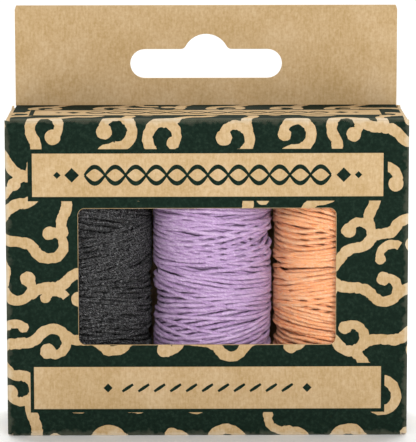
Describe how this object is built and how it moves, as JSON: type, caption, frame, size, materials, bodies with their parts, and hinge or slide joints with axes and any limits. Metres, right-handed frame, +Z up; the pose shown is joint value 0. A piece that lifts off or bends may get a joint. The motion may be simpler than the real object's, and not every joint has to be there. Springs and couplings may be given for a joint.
{
  "type": "boxed waxed thread spool set",
  "caption": "Windowed hang-tab carton with tuck-in lids, holding wound spools of waxed linen thread on cardboard tubes, for leather stitching.",
  "frame": {"origin": "middle of the carton's footprint, on the surface that it stands on", "axes": "+Z up, the window faces -Y, +X to the right of someone looking at the window"},
  "size_m": [0.082, 0.0274, 0.0864],
  "materials": {
    "printed_board": "dark ink printed on natural kraft board, matte",
    "kraft_board": "unprinted natural kraft board, matte",
    "core_board": "spiral-wound kraft tube",
    "black_thread": "twisted waxed linen thread, soft waxy gloss",
    "purple_thread": "twisted waxed linen thread, soft waxy gloss",
    "orange_thread": "twisted waxed linen thread, soft waxy gloss"
  },
  "bodies": {
    "sleeve": {"front_panel": "printed_board", "left_side_panel": "printed_board", "right_side_panel": "printed_board", "back_panel": "printed_board", "glue_seam_flap": "kraft_board", "hang_header_front_ply": "kraft_board", "hang_header_rear_ply": "kraft_board"},
    "top_lid": {"top_lid_panel": "printed_board"},
    "top_lip": {"top_tuck_lip": "printed_board"},
    "top_flap_left": {"top_dust_flap_left": "kraft_board"},
    "top_flap_right": {"top_dust_flap_right": "kraft_board"},
    "bottom_lid": {"bottom_lid_panel": "printed_board"},
    "bottom_lip": {"bottom_tuck_lip": "printed_board"},
    "bottom_flap_left": {"bottom_dust_flap_left": "kraft_board"},
    "bottom_flap_right": {"bottom_dust_flap_right": "kraft_board"},
    "black_spool": {"black_core_tube": "core_board", "black_thread_winding": "black_thread"},
    "purple_spool": {"purple_core_tube": "core_board", "purple_thread_winding": "purple_thread"},
    "orange_spool": {"orange_core_tube": "core_board", "orange_thread_winding": "orange_thread"}
  },
  "joints": [
    {"name": "top_lid_hinge", "type": "hinge", "parent": "sleeve", "child": "top_lid", "pos_m": [0, -0.01343, 0.0652], "axis": [1, 0, 0], "range_deg": [0, 150]},
    {"name": "top_lip_hinge", "type": "hinge", "parent": "top_lid", "child": "top_lip", "pos_m": [0, 0.01157, 0.0652], "axis": [-1, 0, 0], "range_deg": [0, 22.5]},
    {"name": "top_flap_left_hinge", "type": "hinge", "parent": "sleeve", "child": "top_flap_left", "pos_m": [-0.0407, -0.00143, 0.06464], "axis": [0, -1, 0], "range_deg": [0, 75]},
    {"name": "top_flap_right_hinge", "type": "hinge", "parent": "sleeve", "child": "top_flap_right", "pos_m": [0.0407, -0.00143, 0.06464], "axis": [0, 1, 0], "range_deg": [0, 75]},
    {"name": "bottom_lid_hinge", "type": "hinge", "parent": "sleeve", "child": "bottom_lid", "pos_m": [0, -0.01343, 0.0003], "axis": [-1, 0, 0], "range_deg": [0, 150]},
    {"name": "bottom_lip_hinge", "type": "hinge", "parent": "bottom_lid", "child": "bottom_lip", "pos_m": [0, 0.01157, 0.0003], "axis": [1, 0, 0], "range_deg": [0, 22.5]},
    {"name": "bottom_flap_left_hinge", "type": "hinge", "parent": "sleeve", "child": "bottom_flap_left", "pos_m": [-0.0407, -0.00143, 0.00086], "axis": [0, 1, 0], "range_deg": [0, 75]},
    {"name": "bottom_flap_right_hinge", "type": "hinge", "parent": "sleeve", "child": "bottom_flap_right", "pos_m": [0.0407, -0.00143, 0.00086], "axis": [0, -1, 0], "range_deg": [0, 75]},
    {"name": "black_spool_turn", "type": "hinge", "parent": "sleeve", "child": "black_spool", "pos_m": [-0.02374, 0.00002, 0.03275], "axis": [0, 0, 1], "continuous": true},
    {"name": "purple_spool_turn", "type": "hinge", "parent": "sleeve", "child": "purple_spool", "pos_m": [0.00116, -0.00058, 0.03275], "axis": [0, 0, 1], "continuous": true},
    {"name": "orange_spool_turn", "type": "hinge", "parent": "sleeve", "child": "orange_spool", "pos_m": [0.02606, 0.00002, 0.03275], "axis": [0, 0, 1], "continuous": true}
  ],
  "couplings": [
    {"joint": "top_lip_hinge", "follows": "top_lid_hinge", "ratio": 0.15},
    {"joint": "top_flap_left_hinge", "follows": "top_lid_hinge", "ratio": 0.5},
    {"joint": "top_flap_right_hinge", "follows": "top_lid_hinge", "ratio": 0.5},
    {"joint": "bottom_lip_hinge", "follows": "bottom_lid_hinge", "ratio": 0.15},
    {"joint": "bottom_flap_left_hinge", "follows": "bottom_lid_hinge", "ratio": 0.5},
    {"joint": "bottom_flap_right_hinge", "follows": "bottom_lid_hinge", "ratio": 0.5}
  ]
}
